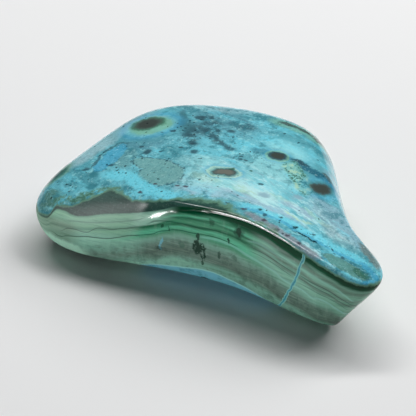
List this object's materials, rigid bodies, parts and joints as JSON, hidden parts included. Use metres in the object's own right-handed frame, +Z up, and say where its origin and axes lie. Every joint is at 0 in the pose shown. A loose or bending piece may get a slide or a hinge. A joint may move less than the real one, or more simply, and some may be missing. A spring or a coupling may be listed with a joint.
{
  "type": "polished chrysocolla malachite stone",
  "caption": "Polished freeform slab of blue chrysocolla over banded green malachite, with a sharp crest, a blunt nose and a small flat to rest on.",
  "frame": {"origin": "middle of the stone's box, on the surface that it lies on", "axes": "+Z up; +X along the stone's longest side, towards its nose; the cut malachite face looks towards -Y"},
  "size_m": [0.076, 0.0504, 0.019],
  "materials": {
    "stone": "polished"
  },
  "bodies": {
    "root": {"stone": "stone"}
  },
  "joints": []
}
